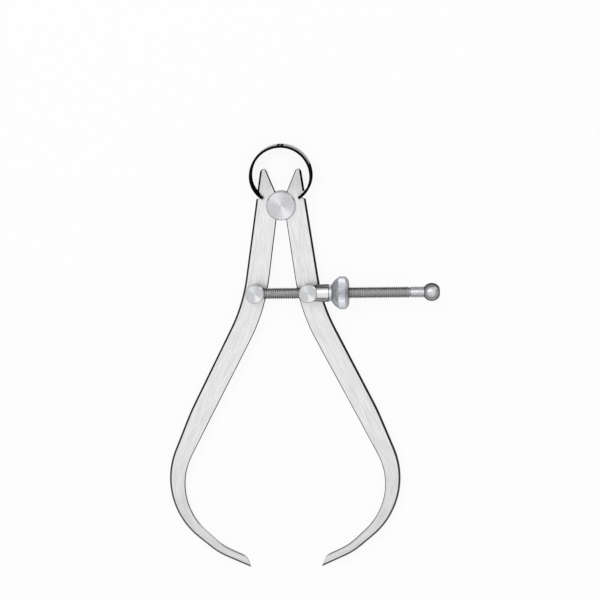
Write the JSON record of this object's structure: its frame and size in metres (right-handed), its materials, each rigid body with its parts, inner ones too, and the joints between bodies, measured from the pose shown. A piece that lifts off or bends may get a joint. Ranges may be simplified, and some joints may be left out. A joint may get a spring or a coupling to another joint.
{
  "type": "outside caliper",
  "caption": "Spring caliper for outside sizes: bowed flat legs on a spool stud, opened by a bow spring and set by a knurled nut on a screw.",
  "frame": {"origin": "on the fulcrum's axis, on the back face of the fulcrum stud", "axes": "+Z out of the caliper's front face, +Y from the fulcrum to the bow spring, +X from the fulcrum's axis to the side of the knurled nut"},
  "size_m": [0.1184, 0.1834, 0.0178],
  "materials": {
    "leg_steel": "satin, brushed along each leg",
    "stud_steel": "turned",
    "spring_black": "blued black",
    "screw_steel": "satin thread with a bright neck and ball",
    "bright_steel": "polished",
    "nut_steel": "satin with a straight knurl"
  },
  "bodies": {
    "fulcrum": {"fulcrum_stud": "stud_steel", "bow_spring": "spring_black"},
    "left_leg": {"left_leg": "leg_steel"},
    "right_leg": {"right_leg": "leg_steel"},
    "screw_side": {"left_post": "stud_steel", "left_post_washer": "stud_steel", "adjusting_screw": "screw_steel"},
    "nut_side": {"right_post": "stud_steel", "right_post_washer": "stud_steel", "thrust_sleeve": "bright_steel"},
    "nut": {"knurled_nut": "nut_steel"}
  },
  "joints": [
    {"name": "left_leg_hinge", "type": "hinge", "parent": "fulcrum", "child": "left_leg", "pos_m": [0, 0, 0.00285], "axis": [0, 0, 1], "range_deg": [-22.2, 5.5], "deforming": ["bow_spring"]},
    {"name": "right_leg_hinge", "type": "hinge", "parent": "fulcrum", "child": "right_leg", "pos_m": [0, 0, 0.00285], "axis": [0, 0, 1], "range_deg": [-5.5, 22.2], "deforming": ["bow_spring"]},
    {"name": "left_post_swivel", "type": "hinge", "parent": "left_leg", "child": "screw_side", "pos_m": [-0.01152, -0.03765, 0.00285], "axis": [0, 0, 1], "range_deg": [-5.5, 22.2]},
    {"name": "right_post_swivel", "type": "hinge", "parent": "right_leg", "child": "nut_side", "pos_m": [0.01152, -0.03765, 0.00285], "axis": [0, 0, 1], "range_deg": [-22.2, 5.5]},
    {"name": "nut_spin", "type": "hinge", "parent": "nut_side", "child": "nut", "pos_m": [0.0257, -0.03765, 0.00885], "axis": [1, 0, 0], "range_deg": [-3043, 12285]}
  ],
  "couplings": [
    {"joint": "left_leg_hinge", "follows": "nut_spin", "ratio": -0.001807},
    {"joint": "right_leg_hinge", "follows": "nut_spin", "ratio": 0.001807},
    {"joint": "left_post_swivel", "follows": "nut_spin", "ratio": 0.001807},
    {"joint": "right_post_swivel", "follows": "nut_spin", "ratio": -0.001807}
  ]
}
